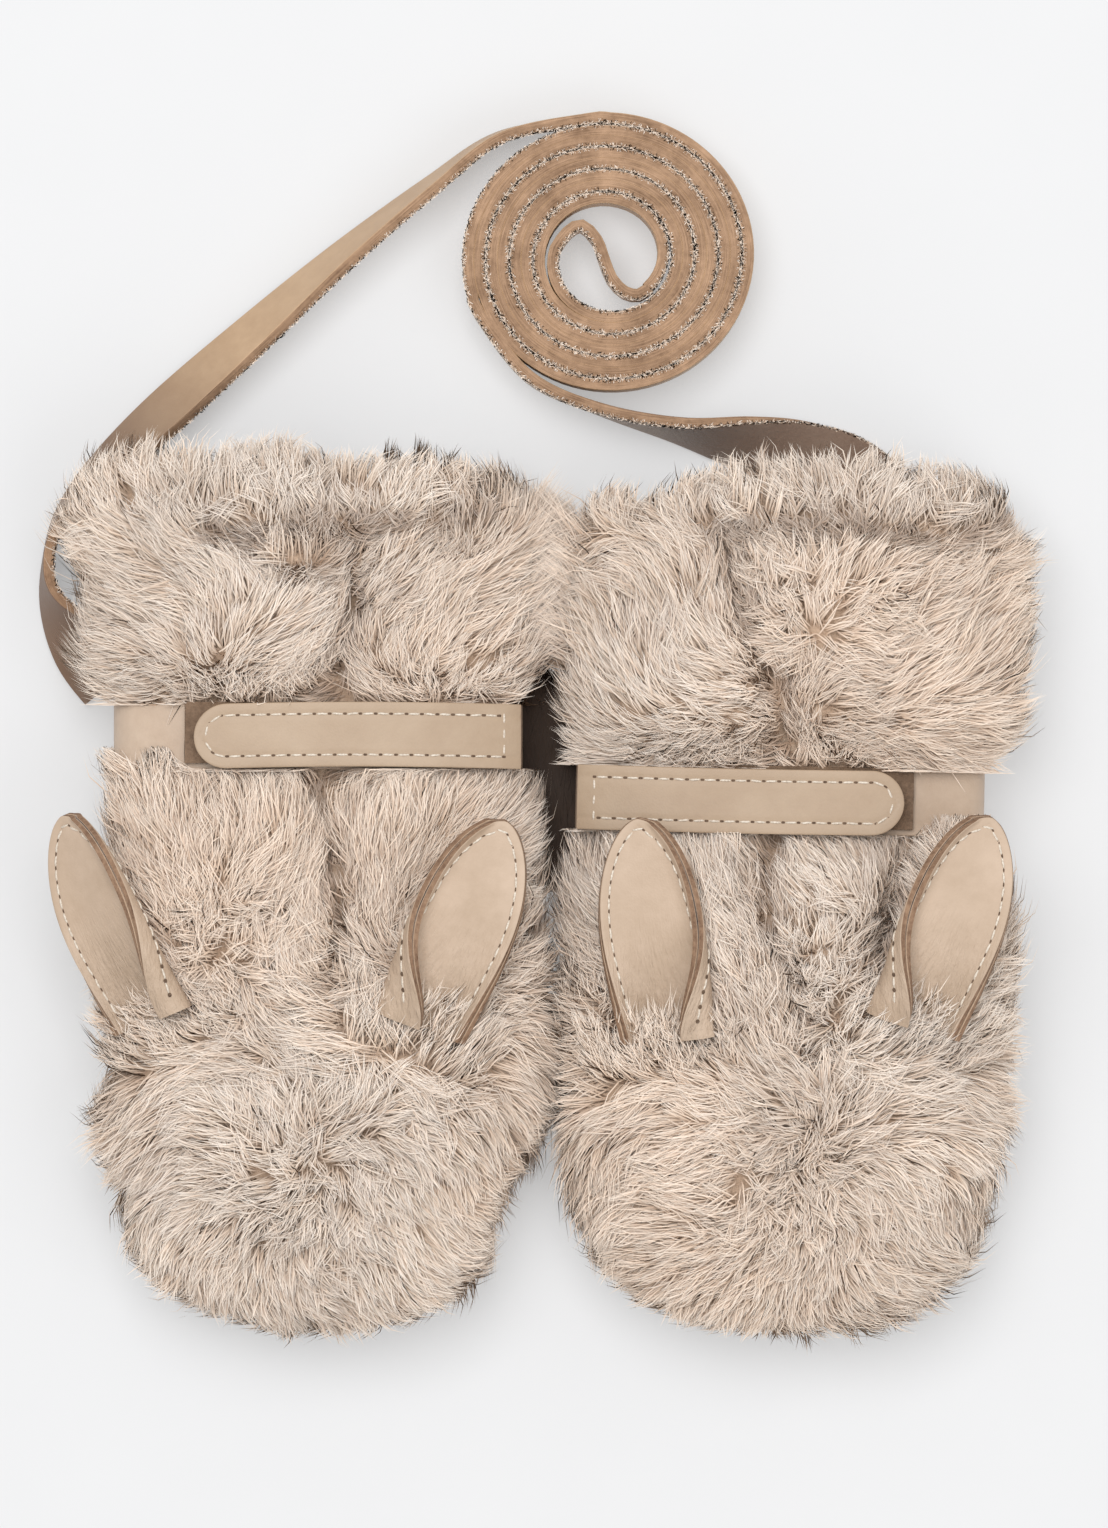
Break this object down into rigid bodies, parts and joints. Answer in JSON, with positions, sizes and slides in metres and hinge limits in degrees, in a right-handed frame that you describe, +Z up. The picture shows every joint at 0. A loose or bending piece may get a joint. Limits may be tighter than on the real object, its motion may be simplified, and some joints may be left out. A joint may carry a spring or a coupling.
{
  "type": "child's fur ski mittens",
  "caption": "Child's fur mittens with leather ears, hook-and-loop wrist straps and a leather neck strap rolled into a flat spiral.",
  "frame": {"origin": "middle of the base of the whole box, on the surface the pair lies on", "axes": "+Z up out of the backs of the hands, +Y from the fingertips towards the cuffs, X across the pair"},
  "size_m": [0.1847, 0.2302, 0.049],
  "materials": {
    "fur": "long pile faux fur, pale beige tips over brown roots",
    "leather": "smooth natural veg-tanned leather, satin",
    "suede": "brushed flesh side of the leather",
    "lining": "short brushed fleece",
    "elastic": "woven elastic tape",
    "loop_tape": "brown brushed loop tape",
    "hook_tape": "brown moulded hooks",
    "thread": "cream waxed sewing thread"
  },
  "bodies": {
    "mittens": {"left_back_fur": "fur", "left_palm_fur": "fur", "left_thumb_fur": "fur", "left_cuff_facing": "fur", "left_lining": "lining", "left_thumb_lining": "lining", "left_wrist_elastic": "elastic", "left_wrist_band": "leather", "left_loop_patch": "loop_tape", "right_back_fur": "fur", "right_palm_fur": "fur", "right_thumb_fur": "fur", "right_cuff_facing": "fur", "right_lining": "lining", "right_thumb_lining": "lining", "right_wrist_elastic": "elastic", "right_wrist_band": "leather", "right_loop_patch": "loop_tape", "strap_coil": "leather", "strap_left_run": "leather", "strap_right_run": "leather"},
    "left_tab": {"left_tab_face": "leather", "left_tab_backing": "suede", "left_hook_patch": "hook_tape"},
    "right_tab": {"right_tab_face": "leather", "right_tab_backing": "suede", "right_hook_patch": "hook_tape"},
    "left_outer_ear": {"left_outer_ear_front": "leather", "left_outer_ear_back": "leather"},
    "left_inner_ear": {"left_inner_ear_front": "leather", "left_inner_ear_back": "leather"},
    "right_outer_ear": {"right_outer_ear_front": "leather", "right_outer_ear_back": "leather"},
    "right_inner_ear": {"right_inner_ear_front": "leather", "right_inner_ear_back": "leather"}
  },
  "joints": [
    {"name": "left_tab_peel", "type": "hinge", "parent": "mittens", "child": "left_tab", "pos_m": [-0.00277, -0.00295, 0.02652], "axis": [0, 1, 0], "range_deg": [0, 80]},
    {"name": "right_tab_peel", "type": "hinge", "parent": "mittens", "child": "right_tab", "pos_m": [0.00914, -0.01407, 0.02652], "axis": [-0.0209, -0.9998, 0], "range_deg": [0, 80]},
    {"name": "left_outer_ear_lift", "type": "hinge", "parent": "mittens", "child": "left_outer_ear", "pos_m": [-0.07297, -0.05835, 0.03509], "axis": [0.7464, 0.1723, 0.6428], "range_deg": [0, 80]},
    {"name": "left_inner_ear_lift", "type": "hinge", "parent": "mittens", "child": "left_inner_ear", "pos_m": [-0.01998, -0.05995, 0.03964], "axis": [0.9323, -0.3174, -0.1736], "range_deg": [0, 80]},
    {"name": "right_inner_ear_lift", "type": "hinge", "parent": "mittens", "child": "right_inner_ear", "pos_m": [0.02192, -0.06205, 0.03828], "axis": [0.9679, 0.0677, 0.2419], "range_deg": [0, 80]},
    {"name": "right_outer_ear_lift", "type": "hinge", "parent": "mittens", "child": "right_outer_ear", "pos_m": [0.07114, -0.05925, 0.03883], "axis": [0.9129, -0.3287, -0.2419], "range_deg": [0, 80]}
  ]
}
